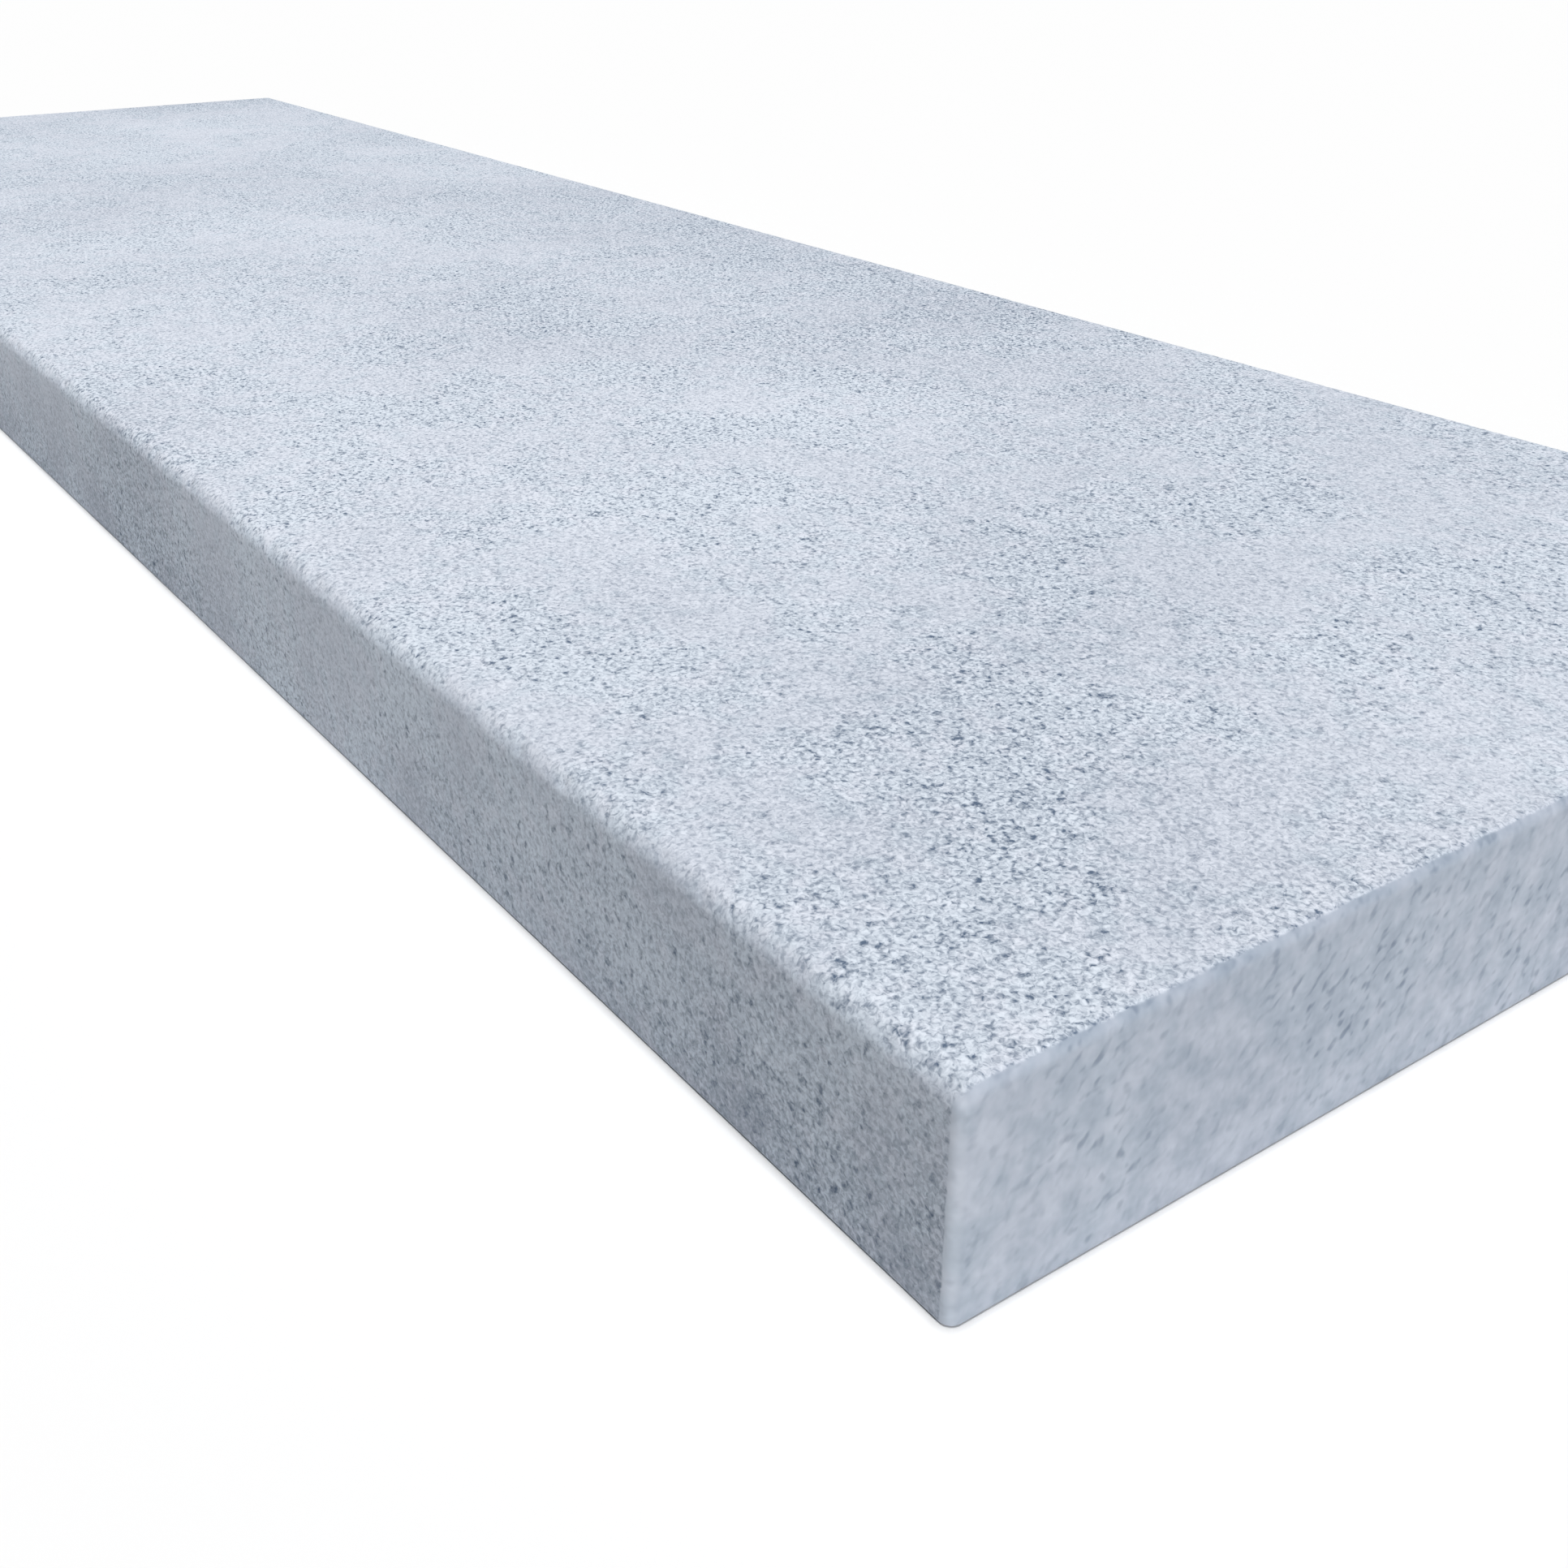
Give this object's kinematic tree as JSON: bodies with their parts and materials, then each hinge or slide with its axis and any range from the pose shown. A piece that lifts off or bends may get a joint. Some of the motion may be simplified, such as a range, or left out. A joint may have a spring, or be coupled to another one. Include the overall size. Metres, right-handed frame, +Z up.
{
  "type": "marble coping",
  "caption": "Straight marble coping slab with a fine-speckled worked top, smooth sawn ends and gently eased edges, for capping a wall, step or pool rim.",
  "frame": {"origin": "centre of the bed face, on the surface that the slab lies on", "axes": "+X along the slab's length, +Y across its width, +Z up from the bed to the worked top"},
  "size_m": [1.2, 0.35, 0.047],
  "materials": {
    "marble": "fine-textured matt top and long sides, smooth sawn ends and bed"
  },
  "bodies": {
    "root": {"coping_slab": "marble"}
  },
  "joints": []
}
